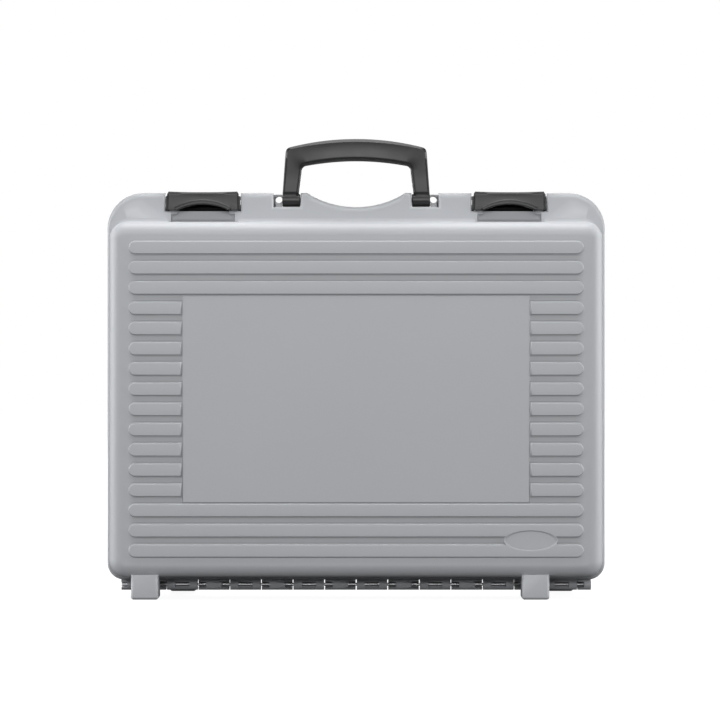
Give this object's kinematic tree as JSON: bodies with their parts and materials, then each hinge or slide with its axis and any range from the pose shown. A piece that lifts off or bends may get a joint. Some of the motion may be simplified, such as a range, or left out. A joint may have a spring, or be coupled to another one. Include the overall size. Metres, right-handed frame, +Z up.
{
  "type": "plastic carry case",
  "caption": "Hinged two-shell plastic carry case with a folding bow handle, snap latches, ribbed faces and padlock eyes.",
  "frame": {"origin": "on the floor under the middle of the closed case, on the parting plane of the two shells", "axes": "+X to the right seen from the front, +Z up, the front shell on the -Y side"},
  "size_m": [0.458, 0.1, 0.4204],
  "materials": {
    "shell_plastic": "fine moulded grain",
    "fitting_plastic": "satin moulded",
    "pin_steel": "bright drawn"
  },
  "bodies": {
    "base": {"rear_shell": "shell_plastic", "hinge_pin": "pin_steel", "latch_pin_left": "pin_steel", "latch_pin_right": "pin_steel"},
    "lid": {"front_shell": "shell_plastic", "handle_pin_left": "pin_steel", "handle_pin_right": "pin_steel"},
    "handle": {"handle": "fitting_plastic"},
    "latch_left": {"latch_left": "fitting_plastic"},
    "latch_right": {"latch_right": "fitting_plastic"}
  },
  "joints": [
    {"name": "lid_hinge", "type": "hinge", "parent": "base", "child": "lid", "pos_m": [0, 0, 0.0093], "axis": [1, 0, 0], "range_deg": [0, 180]},
    {"name": "handle_fold", "type": "hinge", "parent": "lid", "child": "handle", "pos_m": [0, -0.0065, 0.3645], "axis": [1, 0, 0], "range_deg": [-90, 90]},
    {"name": "latch_left_lift", "type": "hinge", "parent": "base", "child": "latch_left", "pos_m": [-0.141, 0.009, 0.3584], "axis": [-1, 0, 0], "range_deg": [0, 90]},
    {"name": "latch_right_lift", "type": "hinge", "parent": "base", "child": "latch_right", "pos_m": [0.141, 0.009, 0.3584], "axis": [-1, 0, 0], "range_deg": [0, 90]}
  ]
}
